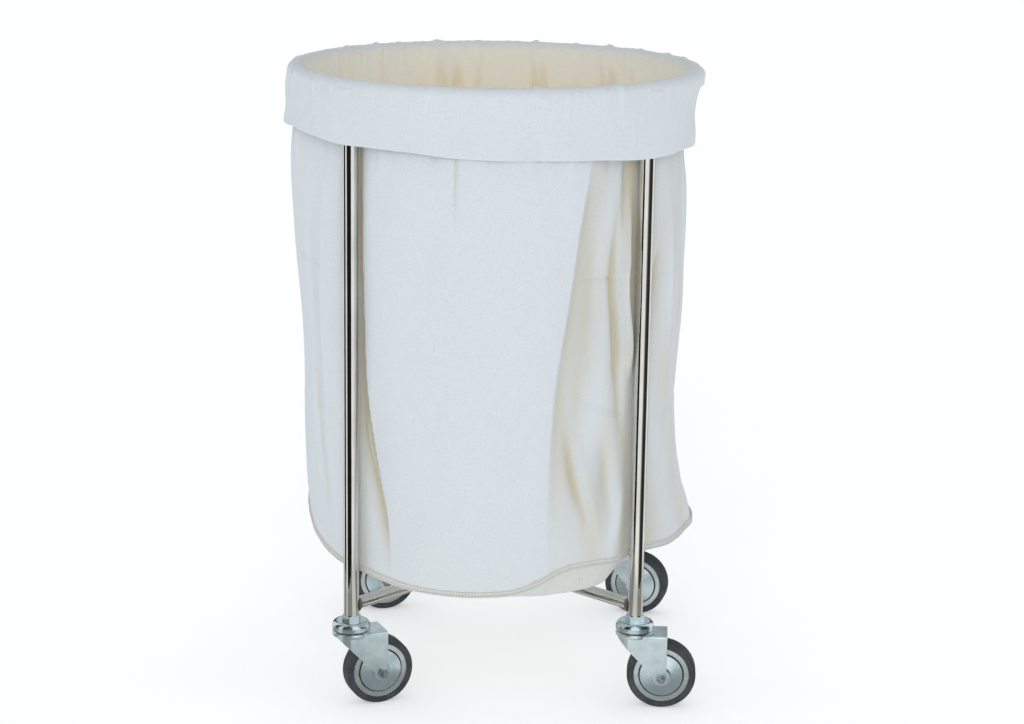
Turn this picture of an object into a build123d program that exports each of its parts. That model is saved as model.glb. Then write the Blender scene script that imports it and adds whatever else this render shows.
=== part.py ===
from build123d import *
from math import acos, asin, atan2, cos, hypot, radians, sin, sqrt
import os

# Linen trolley: a round bag of canvas hung from the top ring of a welded frame on four swivel casters.
# The origin is on the floor, on the frame's centre line. +Z is up and -Y is the front.

# Frame of round tube
ring_radius = 290.0  # from the centre line to the middle of the ring's tube and of each upright
ring_height = 897.0
tube_diameter = 22.0
tube_wall = 1.5
brace_rise = 14.0  # from the uprights' feet up to the middle of the cross tubes
brace_diameter = 18.0
brace_wall = 1.5
cope_depth = 4.0  # how far an end of tube reaches round the tube that it is welded to
weld_leg = 3.5
weld_inset = 1.0  # of the beads under the ring, from the sides of its tube
vent_radius = 3.0  # lets the ring breathe into the uprights while it is welded
socket_length = 40.0

# Caster head
stem_diameter = 12.0
stem_depth = 36.0  # of the stem inside the upright
collar_across_flats = 24.0
collar_height = 8.0
head_radius = 27.5
cup_height = 13.0
cup_shoulder = 7.0
cup_lip = 1.0
race_height = 7.0
race_gap = 2.0  # between the cup and the race
race_edge = 2.5
ball_radius = 3.5
ball_circle = 19.0
ball_count = 14
ball_clearance = 0.1
stem_clearance = 1.0  # round the stem, in the fork
rivet_radius = 12.0
rivet_height = 2.5
rivet_clearance = 0.6
wheel_clearance = 7.0  # between the top of the tyre and the race

# Fork
trail = 40.2  # from the swivel axis back to the axle
fork_half_width = 24.4
fork_sheet = 3.0
nose_radius = 26.0
crown_drop = 1.5  # of the flat behind the head, under the top of the race
crown_bend = 2.5
crease_behind = 25.0  # from the swivel axis back to where each leg turns flat
leg_tip_radius = 7.5
slant_drop = 4.0  # of the top of the leg's slanted front edge, under the top of the race

# Wheel
wheel_radius = 50.0
tyre_depth = 8.9
tyre_half_width = 13.15
tyre_shoulder = 3.5
rim_depth = 9.1
rim_half_width = 12.4
rim_lip = 1.8
rim_recess = 1.2
web_half_width = 4.0
hub_radius = 11.0
hub_half_width = 15.0
hub_clearance = 0.05
web_fillet = 1.5
sleeve_radius = 6.0
axle_radius = 4.0
axle_overhang = 1.2
hexagon_across_flats = 13.0
bolt_head_height = 5.3
bolt_edge = 0.8
nut_height = 5.5
nut_collar_radius = 5.7
nut_collar_height = 1.6
guard_sheet = 1.2
guard_gap = 1.0  # between the edge of the thread guard and the rim
guard_clearance = 0.4
guard_dish = 3.2
guard_flat_radius = 14.0
guard_boss_wall = 2.0

# Bag
cloth = 2.0
cloth_clearance = 0.6  # between the cloth and the tube of the ring
cuff_depth = 95.0
cuff_tuck = 30.0  # how far the inner side of the cuff reaches down from the middle of the ring
bag_foot = 188.0
hem_height = 10.0
hem_width = 5.0

# name, side along X, side along Y, and the direction in degrees from +X that the wheel trails in
casters = [
    ("front_left", -1, -1, 20.8),
    ("front_right", 1, -1, -5.6),
    ("rear_left", -1, 1, 12.3),
    ("rear_right", 1, 1, -16.6),
]

tube_radius = tube_diameter / 2
brace_radius = brace_diameter / 2
stem_radius = stem_diameter / 2
upright_offset = ring_radius * cos(radians(45))
upright_top = ring_height - tube_radius + cope_depth
race_foot = 2 * wheel_radius + wheel_clearance
race_top = race_foot + race_height
cup_foot = race_top + race_gap
collar_foot = cup_foot + cup_height
upright_foot = collar_foot + collar_height
brace_height = upright_foot + brace_rise
ball_height = race_top + race_gap / 2
crown_top = race_top - crown_drop
fork_rear = trail + leg_tip_radius
leg_inside = fork_half_width - fork_sheet
leg_foot = wheel_radius - leg_tip_radius
rim_radius = wheel_radius - tyre_depth
rim_bore = rim_radius - rim_depth
guard_radius = rim_bore - guard_gap
guard_foot = hub_half_width + guard_clearance
cuff_bend = tube_radius + cloth_clearance
bag_radius = ring_radius - cuff_bend - cloth
cuff_top = ring_height + cuff_bend + cloth
cuff_foot = cuff_top - cuff_depth
tuck_foot = ring_height - cuff_tuck


def frame_corner(side_x, side_y):
    """The foot of an upright's centre line, on the floor."""
    return Vector(side_x * upright_offset, side_y * upright_offset, 0)


def side_plane(plan):
    """The upright plane through a plan's origin: X is the plan's X and Y is up."""
    return Plane(origin=plan.origin, x_dir=plan.x_dir, z_dir=-plan.y_dir)


def axle_plane(plan):
    """The upright plane through a wheel's axle: X runs along the axle and Y is up from its centre."""
    centre = plan.origin + plan.x_dir * trail + Vector(0, 0, wheel_radius)
    return Plane(origin=centre, x_dir=plan.y_dir, z_dir=plan.x_dir)


def across_axle(plan, distance=0):
    """A plane square to the axle, at a distance along it from the middle of the wheel."""
    centre = axle_plane(plan).origin + plan.y_dir * distance
    return Plane(origin=centre, x_dir=-plan.x_dir, z_dir=plan.y_dir)


def upright_axis(plan):
    return Axis(plan.origin, (0, 0, 1))


def axle_axis(plan):
    return Axis(axle_plane(plan).origin, plan.y_dir)


def export(solid, name):
    solid.label = name
    export_step(solid, "parts/" + name + ".step")


# The outsides of the tubes that other pieces are cut back to

corners = [frame_corner(side_x, side_y) for name, side_x, side_y, heading in casters]
whole_brace_plane = Plane(origin=(0, 0, brace_height), x_dir=(0, 0, 1), z_dir=(1, 1, 0))
split_brace_plane = Plane(origin=(0, 0, brace_height), x_dir=(0, 0, 1), z_dir=(1, -1, 0))

with BuildPart() as ring_outside:
    with Locations((0, 0, ring_height)):
        Torus(ring_radius, tube_radius)

with BuildPart() as uprights_outside:
    with BuildSketch(Plane.XY.offset(upright_foot)):
        with Locations(*corners):
            Circle(tube_radius)
    extrude(amount=upright_top - upright_foot)

with BuildPart() as whole_brace_outside:
    with BuildSketch(whole_brace_plane):
        Circle(brace_radius)
    extrude(amount=ring_radius, both=True)


# Frame


def make_top_ring():
    with BuildPart() as top_ring:
        with Locations((0, 0, ring_height)):
            Torus(ring_radius, tube_radius)
            Torus(ring_radius, tube_radius - tube_wall, mode=Mode.SUBTRACT)
        with BuildSketch(Plane.XY.offset(ring_height)):
            with Locations(*corners):
                Circle(vent_radius)
        extrude(amount=-tube_diameter, mode=Mode.SUBTRACT)
    return top_ring.part


def make_upright(corner):
    with BuildPart() as upright:
        with BuildSketch(Plane.XY.offset(upright_foot)):
            with Locations(corner):
                Circle(tube_radius)
                Circle(tube_radius - tube_wall, mode=Mode.SUBTRACT)
        extrude(amount=upright_top - upright_foot)
        add(ring_outside.part, mode=Mode.SUBTRACT)
    return upright.part


def make_ring_welds():
    """A bead round the top of each upright, flaring out under the ring but never past its sides."""
    bore = tube_radius - tube_wall
    with BuildPart() as ring_welds:
        for corner in corners:
            with BuildSketch(side_plane(Plane(origin=corner))):
                with BuildLine():
                    Polyline(
                        (bore, upright_top),
                        (tube_radius, upright_top),
                        (tube_radius, upright_top - cope_depth - weld_leg),
                        (tube_radius + weld_leg, upright_top),
                        (tube_radius + weld_leg, upright_top + cope_depth),
                        (bore, upright_top + cope_depth),
                        close=True,
                    )
                make_face()
            revolve(axis=Axis(corner, (0, 0, 1)))
        with BuildSketch():
            Circle(ring_radius + tube_radius - weld_inset)
            Circle(ring_radius - tube_radius + weld_inset, mode=Mode.SUBTRACT)
        extrude(amount=ring_height, mode=Mode.INTERSECT)
        add(ring_outside.part, mode=Mode.SUBTRACT)
    return ring_welds.part


def make_whole_brace():
    with BuildPart() as brace:
        with BuildSketch(whole_brace_plane):
            Circle(brace_radius)
            Circle(brace_radius - brace_wall, mode=Mode.SUBTRACT)
        extrude(amount=ring_radius, both=True)
        add(uprights_outside.part, mode=Mode.SUBTRACT)
    return brace.part


def make_half_brace(way):
    """Half of the other brace, from the whole one out to an upright, towards way times its plane's Z."""
    with BuildPart() as brace:
        with BuildSketch(split_brace_plane.offset(way * (brace_radius - cope_depth))):
            Circle(brace_radius)
            Circle(brace_radius - brace_wall, mode=Mode.SUBTRACT)
        extrude(amount=way * (ring_radius - brace_radius + cope_depth))
        add(uprights_outside.part, mode=Mode.SUBTRACT)
        add(whole_brace_outside.part, mode=Mode.SUBTRACT)
    return brace.part


def make_brace_welds():
    """A bead round each end of the braces, flaring out against the tube that it joins."""
    with BuildPart() as brace_welds:
        for plane in (whole_brace_plane, split_brace_plane):
            for way in (-1, 1):
                joint = ring_radius - tube_radius
                section_plane = Plane(origin=plane.origin, x_dir=plane.z_dir * way, z_dir=plane.y_dir * way)
                with BuildSketch(section_plane):
                    with BuildLine():
                        Polyline(
                            (joint - weld_leg, brace_radius),
                            (joint + cope_depth, brace_radius),
                            (joint + cope_depth, brace_radius + weld_leg),
                            (joint + cope_depth / 2, brace_radius + weld_leg),
                            close=True,
                        )
                    make_face()
                revolve(axis=Axis(plane.origin, plane.z_dir))
        add(uprights_outside.part, mode=Mode.SUBTRACT)
        for way in (-1, 1):
            start = brace_radius - cope_depth
            plane = split_brace_plane
            with BuildSketch(Plane(origin=plane.origin, x_dir=plane.z_dir * way, z_dir=plane.y_dir * way)):
                with BuildLine():
                    Polyline(
                        (start / 2, brace_radius - brace_wall),
                        (start, brace_radius - brace_wall),
                        (start, brace_radius),
                        (brace_radius + weld_leg, brace_radius),
                        (brace_radius, brace_radius + weld_leg / 2),
                        (start / 2, brace_radius + weld_leg / 2),
                        close=True,
                    )
                make_face()
            revolve(axis=Axis(plane.origin, plane.z_dir))
        add(whole_brace_outside.part, mode=Mode.SUBTRACT)
    return brace_welds.part


def make_stem_sockets():
    """The bush inside the foot of each upright."""
    with BuildPart() as sockets:
        with BuildSketch(Plane.XY.offset(upright_foot)):
            with Locations(*corners):
                Circle(tube_radius - tube_wall)
                Circle(stem_radius, mode=Mode.SUBTRACT)
        extrude(amount=socket_length)
    return sockets.part


# Caster


def make_stem(plan):
    """The pin with its hexagon collar under the upright, and its riveted end under the fork."""
    rivet_foot = race_foot - rivet_clearance - rivet_height
    with BuildPart() as stem:
        with BuildSketch(plan.offset(collar_foot)):
            RegularPolygon(collar_across_flats / 2, 6, major_radius=False)
        extrude(amount=collar_height)
        with BuildSketch(plan.offset(rivet_foot)):
            Circle(stem_radius)
        extrude(amount=upright_foot + stem_depth - rivet_foot)
        with BuildSketch(plan.offset(rivet_foot)):
            Circle(rivet_radius)
        extrude(amount=rivet_height)
    return stem.part


def make_bearing_cup(plan):
    with BuildPart() as cup:
        with BuildSketch(plan.offset(cup_foot)):
            Circle(head_radius)
        extrude(amount=cup_height)
        fillet(cup.faces().sort_by(Axis.Z)[-1].edges(), cup_shoulder)
        fillet(cup.faces().sort_by(Axis.Z)[0].edges(), cup_lip)
        with BuildSketch(plan.offset(cup_foot)):
            Circle(stem_radius)
        extrude(amount=cup_height, mode=Mode.SUBTRACT)
        with Locations(plan.offset(ball_height)):
            Torus(ball_circle, ball_radius + ball_clearance, mode=Mode.SUBTRACT)
    return cup.part


def make_swivel_balls(plan):
    with BuildPart() as balls:
        with Locations(plan.offset(ball_height)):
            with PolarLocations(ball_circle, ball_count):
                Sphere(ball_radius)
    return balls.part


def fork_outline(nose, half_width, rear):
    """The fork's outline in plan: a round nose, sides that close in to the crease, then flat sides."""
    reach = hypot(crease_behind, half_width)
    turn = atan2(half_width, crease_behind) + acos(nose / reach)
    touch_x = nose * cos(turn)
    touch_y = nose * sin(turn)
    with BuildSketch() as outline:
        with BuildLine():
            Polyline(
                (touch_x, touch_y),
                (crease_behind, half_width),
                (rear, half_width),
                (rear, -half_width),
                (crease_behind, -half_width),
                (touch_x, -touch_y),
            )
            ThreePointArc((touch_x, -touch_y), (-nose, 0), (touch_x, touch_y))
        make_face()
    return outline.sketch


def leg_profile():
    """The fork's side view: a slant from under the head down to a round tip about the axle."""
    start_x = -head_radius
    start_y = race_top - slant_drop
    run = trail - start_x
    drop = start_y - wheel_radius
    slope = atan2(drop, run) + asin(leg_tip_radius / hypot(run, drop))
    slant = sqrt(run**2 + drop**2 - leg_tip_radius**2)
    touch = (start_x + slant * cos(slope), start_y - slant * sin(slope))
    halfway = (radians(270) - slope + radians(360)) / 2
    lowest = (trail + leg_tip_radius * cos(halfway), wheel_radius + leg_tip_radius * sin(halfway))
    with BuildSketch() as profile:
        with BuildLine():
            Polyline(
                (fork_rear, wheel_radius),
                (fork_rear, crown_top),
                (start_x, crown_top),
                (start_x, start_y),
                touch,
            )
            ThreePointArc(touch, lowest, (fork_rear, wheel_radius))
        make_face()
    return profile.sketch


def make_fork(plan):
    """The pressed fork: two legs, the flat behind the head, and the lower race."""
    with BuildPart() as fork:
        with BuildSketch(plan.offset(leg_foot)):
            add(fork_outline(nose_radius, fork_half_width, fork_rear))
        extrude(amount=crown_top - leg_foot)
        rear_plane = Plane(origin=plan.origin + plan.x_dir * (fork_rear - crown_bend), z_dir=-plan.x_dir)
        rims = fork.faces().sort_by(Axis.Z)[-1].edges()
        bends = rims.filter_by(lambda rim: rear_plane.to_local_coords(rim.center()).Z > 0)
        fillet(bends, crown_bend)
        with BuildSketch(plan.offset(leg_foot)):
            add(fork_outline(nose_radius - fork_sheet, leg_inside, fork_rear + fork_sheet))
        extrude(amount=crown_top - fork_sheet - leg_foot, mode=Mode.SUBTRACT)
        with BuildSketch(side_plane(plan)):
            add(leg_profile())
        extrude(amount=fork_half_width, both=True, mode=Mode.INTERSECT)
        with BuildSketch(side_plane(plan)) as race:
            with BuildLine():
                Polyline(
                    (0, race_foot),
                    (head_radius, race_foot),
                    (head_radius, race_top),
                    (0, race_top),
                    close=True,
                )
            make_face()
            fillet(race.vertices().filter_by(lambda corner: corner.X > ball_circle), race_edge)
        revolve(axis=upright_axis(plan))
        with BuildSketch(plan.offset(race_foot)):
            Circle(stem_radius + stem_clearance)
        extrude(amount=race_height, mode=Mode.SUBTRACT)
        with Locations(plan.offset(ball_height)):
            Torus(ball_circle, ball_radius + ball_clearance, mode=Mode.SUBTRACT)
        with BuildSketch(across_axle(plan)):
            Circle(axle_radius)
        extrude(amount=fork_half_width, both=True, mode=Mode.SUBTRACT)
    return fork.part


def turned(plan, outline):
    """A solid turned about the axle from a closed outline of (distance along the axle, radius) points."""
    with BuildPart() as solid:
        with BuildSketch(axle_plane(plan)):
            with BuildLine():
                Polyline(*outline, close=True)
            make_face()
        revolve(axis=axle_axis(plan))
    return solid.part


def make_axle_bolt(plan):
    """The bolt through the fork, with its hexagon head on the inner side."""
    with BuildPart() as bolt:
        with BuildSketch(across_axle(plan, fork_half_width)):
            RegularPolygon(hexagon_across_flats / 2, 6, major_radius=False)
        extrude(amount=bolt_head_height)
        chamfer(bolt.faces().sort_by(axle_axis(plan))[-1].edges(), bolt_edge)
        end = fork_half_width + nut_height + nut_collar_height + axle_overhang
        with BuildSketch(across_axle(plan, -end)):
            Circle(axle_radius)
        extrude(amount=end + fork_half_width)
        chamfer(bolt.faces().sort_by(axle_axis(plan))[0].edges(), bolt_edge)
    return bolt.part


def make_axle_nut(plan):
    """The locking nut on the outer leg: a hexagon with a round collar at its end."""
    with BuildPart() as nut:
        with BuildSketch(across_axle(plan, -fork_half_width)):
            RegularPolygon(hexagon_across_flats / 2, 6, major_radius=False)
        extrude(amount=-nut_height)
        with BuildSketch(across_axle(plan, -fork_half_width - nut_height)):
            Circle(nut_collar_radius)
        extrude(amount=-nut_collar_height)
        fillet(nut.faces().sort_by(axle_axis(plan))[0].edges(), nut_collar_height / 2)
        with BuildSketch(across_axle(plan, -fork_half_width)):
            Circle(axle_radius)
        extrude(amount=-nut_height - nut_collar_height, mode=Mode.SUBTRACT)
    return nut.part


def make_axle_sleeve(plan):
    """The tube on the bolt that the legs clamp and the wheel turns on."""
    outline = [
        (-leg_inside, axle_radius),
        (leg_inside, axle_radius),
        (leg_inside, sleeve_radius),
        (-leg_inside, sleeve_radius),
    ]
    return turned(plan, outline)


def make_thread_guards(plan):
    """Two dished discs that close the sides of the wheel and stand still with the fork."""
    with BuildPart() as guards:
        for side in (-1, 1):
            outline = [
                (side * guard_foot, sleeve_radius),
                (side * guard_foot, guard_flat_radius),
                (side * (guard_foot - guard_dish), guard_radius),
                (side * (guard_foot - guard_dish + guard_sheet), guard_radius),
                (side * (guard_foot + guard_sheet), guard_flat_radius),
                (side * leg_inside, sleeve_radius + guard_boss_wall + leg_inside - guard_foot - guard_sheet),
                (side * leg_inside, sleeve_radius),
            ]
            add(turned(plan, outline))
    return guards.part


def make_wheel_rim(plan):
    """The hub, the web and the rim with a rolled lip at each edge."""
    right = [
        (hub_half_width, sleeve_radius + hub_clearance),
        (hub_half_width, hub_radius),
        (web_half_width, hub_radius + web_fillet),
        (web_half_width, rim_bore - web_fillet),
        (rim_half_width - rim_recess, rim_bore),
        (rim_half_width, rim_bore + rim_lip / 2),
        (rim_half_width - rim_recess, rim_bore + rim_lip),
        (rim_half_width - rim_recess, rim_radius - rim_lip),
        (rim_half_width, rim_radius - rim_lip / 2),
        (rim_half_width - rim_recess / 2, rim_radius),
    ]
    left = [(-across, radius) for across, radius in reversed(right)]
    return turned(plan, right + left)


def make_tyre(plan):
    with BuildPart() as tyre:
        with BuildSketch(axle_plane(plan)) as section:
            with Locations((0, wheel_radius - tyre_depth / 2)):
                Rectangle(2 * tyre_half_width, tyre_depth)
            fillet(section.vertices().group_by(Axis.Y)[-1], tyre_shoulder)
        revolve(axis=axle_axis(plan))
    return tyre.part


# Bag


def make_bag_wall():
    with BuildPart() as wall:
        with BuildSketch(Plane.XY.offset(bag_foot + hem_height)):
            Circle(bag_radius)
            Circle(bag_radius - cloth, mode=Mode.SUBTRACT)
        extrude(amount=ring_height - bag_foot - hem_height)
    return wall.part


def make_bag_base():
    with BuildPart() as base:
        with BuildSketch(Plane.XY.offset(bag_foot + hem_height)):
            Circle(bag_radius - cloth)
        extrude(amount=-cloth)
    return base.part


def make_bag_hem():
    """The band that joins the wall to the base."""
    with BuildPart() as hem:
        with BuildSketch(Plane.XY.offset(bag_foot)):
            Circle(bag_radius)
            Circle(bag_radius - hem_width, mode=Mode.SUBTRACT)
        extrude(amount=hem_height)
        add(make_bag_base(), mode=Mode.SUBTRACT)
    return hem.part


def make_bag_cuff():
    """The top of the bag: sewn to the wall inside the ring, then over the ring and down outside it."""
    with BuildPart() as cuff:
        with BuildSketch(Plane.XZ) as section:
            with BuildLine():
                inner = Line((ring_radius - cuff_bend, tuck_foot), (ring_radius - cuff_bend, ring_height))
                over = ThreePointArc(
                    inner @ 1,
                    (ring_radius, ring_height + cuff_bend),
                    (ring_radius + cuff_bend, ring_height),
                )
                Line(over @ 1, (ring_radius + cuff_bend, cuff_foot))
                Line((ring_radius + cuff_bend, cuff_foot), (ring_radius + cuff_bend + cloth, cuff_foot))
                outer = Line(
                    (ring_radius + cuff_bend + cloth, cuff_foot), (ring_radius + cuff_bend + cloth, ring_height)
                )
                back = ThreePointArc(
                    outer @ 1,
                    (ring_radius, cuff_top),
                    (ring_radius - cuff_bend - cloth, ring_height),
                )
                Line(back @ 1, (ring_radius - cuff_bend - cloth, tuck_foot))
                Line((ring_radius - cuff_bend - cloth, tuck_foot), (ring_radius - cuff_bend, tuck_foot))
            make_face()
        revolve(axis=Axis.Z)
    return cuff.part


# Export

os.makedirs("parts", exist_ok=True)
export(make_top_ring(), "top_ring")
export(make_ring_welds(), "ring_welds")
export(make_whole_brace(), "brace_whole")
export(make_half_brace(-1), "brace_half_rear_left")
export(make_half_brace(1), "brace_half_front_right")
export(make_brace_welds(), "brace_welds")
export(make_stem_sockets(), "stem_sockets")
export(make_bag_wall(), "bag_wall")
export(make_bag_base(), "bag_base")
export(make_bag_hem(), "bag_hem")
export(make_bag_cuff(), "bag_cuff")

caster_pieces = {
    "stem": make_stem,
    "bearing_cup": make_bearing_cup,
    "swivel_balls": make_swivel_balls,
    "fork": make_fork,
    "axle_bolt": make_axle_bolt,
    "axle_nut": make_axle_nut,
    "axle_sleeve": make_axle_sleeve,
    "thread_guards": make_thread_guards,
    "wheel_rim": make_wheel_rim,
    "tyre": make_tyre,
}

for place, side_x, side_y, heading in casters:
    corner = frame_corner(side_x, side_y)
    way = Vector(cos(radians(heading)), sin(radians(heading)), 0)
    plan = Plane(origin=corner, x_dir=way, z_dir=(0, 0, 1))
    export(make_upright(corner), "upright_" + place)
    for piece, make in caster_pieces.items():
        export(make(plan), piece + "_" + place)
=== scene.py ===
import math

import bpy
import numpy as np
from mathutils import Matrix, Vector


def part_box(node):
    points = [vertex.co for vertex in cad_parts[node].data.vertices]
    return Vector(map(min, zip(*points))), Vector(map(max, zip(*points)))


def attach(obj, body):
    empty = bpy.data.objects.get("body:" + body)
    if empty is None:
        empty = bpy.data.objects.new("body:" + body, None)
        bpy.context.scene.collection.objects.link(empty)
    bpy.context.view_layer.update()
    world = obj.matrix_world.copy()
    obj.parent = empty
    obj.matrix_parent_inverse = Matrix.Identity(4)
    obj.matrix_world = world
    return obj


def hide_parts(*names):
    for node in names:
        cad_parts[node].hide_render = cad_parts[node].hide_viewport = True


# Linen trolley: a canvas bag hung over the ring of a steel frame on four casters. Metres throughout.

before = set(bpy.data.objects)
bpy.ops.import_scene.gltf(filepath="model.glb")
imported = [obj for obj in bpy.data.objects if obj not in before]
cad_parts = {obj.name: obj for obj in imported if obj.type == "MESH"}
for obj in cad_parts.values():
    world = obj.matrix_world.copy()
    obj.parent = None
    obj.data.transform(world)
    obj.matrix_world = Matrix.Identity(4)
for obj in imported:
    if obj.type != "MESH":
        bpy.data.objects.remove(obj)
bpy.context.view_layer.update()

MM = 0.001

# ---------------------------------------------------------------- shaders


class Value:
    """A number worked out by a shader. Arithmetic on it adds the shader's Math nodes."""

    def __init__(self, shader, socket):
        self.shader = shader
        self.socket = socket

    def __add__(self, other):
        return self.shader.maths("ADD", self, other)

    def __sub__(self, other):
        return self.shader.maths("SUBTRACT", self, other)

    def __rsub__(self, other):
        return self.shader.maths("SUBTRACT", other, self)

    def __mul__(self, other):
        return self.shader.maths("MULTIPLY", self, other)

    def __truediv__(self, other):
        return self.shader.maths("DIVIDE", self, other)

    __radd__ = __add__
    __rmul__ = __mul__

    def sin(self):
        return self.shader.maths("SINE", self)

    def above(self, low, high):
        """0 below low, 1 above high and an even climb between them."""
        limits = {"From Min": low, "From Max": high}
        return self.shader.node("ShaderNodeMapRange", {"clamp": True}, {"Value": self, **limits})


class Shader:
    """A node tree with short ways to add what it needs."""

    def __init__(self, owner):
        owner.use_nodes = True
        self.nodes = owner.node_tree.nodes
        self.links = owner.node_tree.links

    def node(self, kind, settings=None, values=None, output=0):
        node = self.nodes.new(kind)
        for setting, value in (settings or {}).items():
            if setting == "stops":
                self.fill_ramp(node.color_ramp, value)
            else:
                setattr(node, setting, value)
        for socket, value in (values or {}).items():
            self.feed(node.inputs[socket], value)
        return Value(self, node.outputs[output]) if output is not None else node

    def feed(self, socket, value):
        if isinstance(value, Value):
            self.links.new(value.socket, socket)
        else:
            socket.default_value = value

    def fill_ramp(self, ramp, stops):
        while len(ramp.elements) < len(stops):
            ramp.elements.new(1.0)
        for element, (place, shade) in zip(ramp.elements, stops):
            element.position = place
            element.color = (*shade, 1.0)

    def maths(self, operation, *numbers):
        return self.node("ShaderNodeMath", {"operation": operation}, dict(enumerate(numbers)))

    def mix(self, amount, first, second):
        """One colour over another."""
        ends = {0: amount, 6: rgba(first), 7: rgba(second)}
        return self.node("ShaderNodeMix", {"data_type": "RGBA"}, ends, output=2)

    def noise(self, place, scale, detail=2.0, roughness=0.5):
        values = {"Vector": place, "Scale": scale, "Detail": detail, "Roughness": roughness}
        return self.node("ShaderNodeTexNoise", {}, values)

    def stretched(self, place, stretch):
        """The same place with its axes scaled, for marks that run one way."""
        return self.node("ShaderNodeVectorMath", {"operation": "MULTIPLY"}, {0: place, 1: stretch})

    def axes(self, place):
        split = self.node("ShaderNodeSeparateXYZ", {}, {0: place})
        return [Value(self, socket) for socket in split.socket.node.outputs]

    def on_part(self):
        """The place on the part, which moves with it."""
        return self.node("ShaderNodeTexCoord", output=3)

    def bump(self, height, distance, strength=1.0, under=None):
        values = {"Height": height, "Distance": distance, "Strength": strength}
        if under is not None:
            values["Normal"] = under
        return self.node("ShaderNodeBump", {}, values)


def rgba(colour):
    return colour if isinstance(colour, Value) else (*colour, 1.0)


def new_material(name, constants):
    """A material whose surface sockets hold the constants given, and its shader for what varies."""
    material = bpy.data.materials.new(name)
    shader = Shader(material)
    surface = shader.nodes["Principled BSDF"]
    for socket, value in constants.items():
        surface.inputs[socket].default_value = rgba(value) if isinstance(value, tuple) else value
    return material, shader, surface.inputs


# ---------------------------------------------------------------- finishes


def polished_stainless(name, grain):
    """Polished tube. grain is longest across the polishing marks, so they run along the tube."""
    material, shader, surface = new_material(name, {"Metallic": 1.0})
    place = shader.on_part()
    marks = shader.noise(shader.stretched(place, grain), 60.0, 3.0, 0.6)
    smears = shader.noise(place, 14.0, 3.0)
    tone = shader.mix(smears.above(0.35, 0.7), (0.80, 0.80, 0.79), (0.70, 0.69, 0.66))
    shader.feed(surface["Base Color"], tone)
    shader.feed(surface["Roughness"], 0.03 + 0.05 * smears + 0.03 * marks)
    shader.feed(surface["Normal"], shader.bump(marks, 0.00004))
    return material


def heat_tinted_weld():
    material, shader, surface = new_material("heat_tinted_weld", {"Metallic": 1.0})
    place = shader.on_part()
    ripples = shader.noise(place, 420.0, 2.0)
    tint = shader.noise(place, 90.0, 2.0)
    tone = shader.mix(tint.above(0.35, 0.65), (0.30, 0.24, 0.17), (0.20, 0.21, 0.25))
    shader.feed(surface["Base Color"], tone)
    shader.feed(surface["Roughness"], 0.35 + 0.25 * ripples)
    shader.feed(surface["Normal"], shader.bump(ripples, 0.0006))
    return material


def bright_zinc(name, tone, dull_tone, roughness):
    """Zinc plate with a blue cast: soft clouds, fine pits, and a duller tone where it is handled."""
    material, shader, surface = new_material(name, {"Metallic": 1.0})
    place = shader.on_part()
    clouds = shader.noise(place, 55.0, 4.0, 0.6)
    pits = shader.noise(place, 900.0, 2.0)
    shader.feed(surface["Base Color"], shader.mix(clouds.above(0.3, 0.72), tone, dull_tone))
    shader.feed(surface["Roughness"], roughness + 0.16 * clouds + 0.05 * pits)
    shader.feed(surface["Normal"], shader.bump(pits, 0.00006, under=shader.bump(clouds, 0.0004)))
    return material


def turned_steel():
    material, shader, surface = new_material("turned_steel", {"Metallic": 1.0})
    place = shader.on_part()
    wear = shader.noise(place, 160.0, 3.0)
    tone = shader.mix(wear.above(0.4, 0.7), (0.52, 0.56, 0.58), (0.24, 0.26, 0.28))
    shader.feed(surface["Base Color"], tone)
    shader.feed(surface["Roughness"], 0.20 + 0.22 * wear)
    shader.feed(surface["Normal"], shader.bump(wear, 0.0001))
    return material


def grey_rubber():
    material, shader, surface = new_material("grey_rubber", {"Specular IOR Level": 0.4})
    place = shader.on_part()
    dust = shader.noise(place, 45.0, 4.0, 0.6)
    grain = shader.noise(place, 700.0, 2.0)
    tone = shader.mix(dust.above(0.4, 0.75), (0.030, 0.038, 0.042), (0.060, 0.073, 0.080))
    shader.feed(surface["Base Color"], tone)
    shader.feed(surface["Roughness"], 0.48 + 0.22 * dust)
    shader.feed(surface["Normal"], shader.bump(grain, 0.00012))
    return material


THREAD_PITCH = 0.0011
BRIGHT_CANVAS = (0.705, 0.75, 0.785)
# Colours that the painted shade mixes toward: outside in folds and hollows, and inside the bag, where it also stands
# for the warm light that bounces and shines through the cloth
PAINTED_SHADE_CANVAS = (0.57, 0.51, 0.36)
PAINTED_INSIDE_SHADE_CANVAS = (0.63, 0.565, 0.43)


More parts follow.
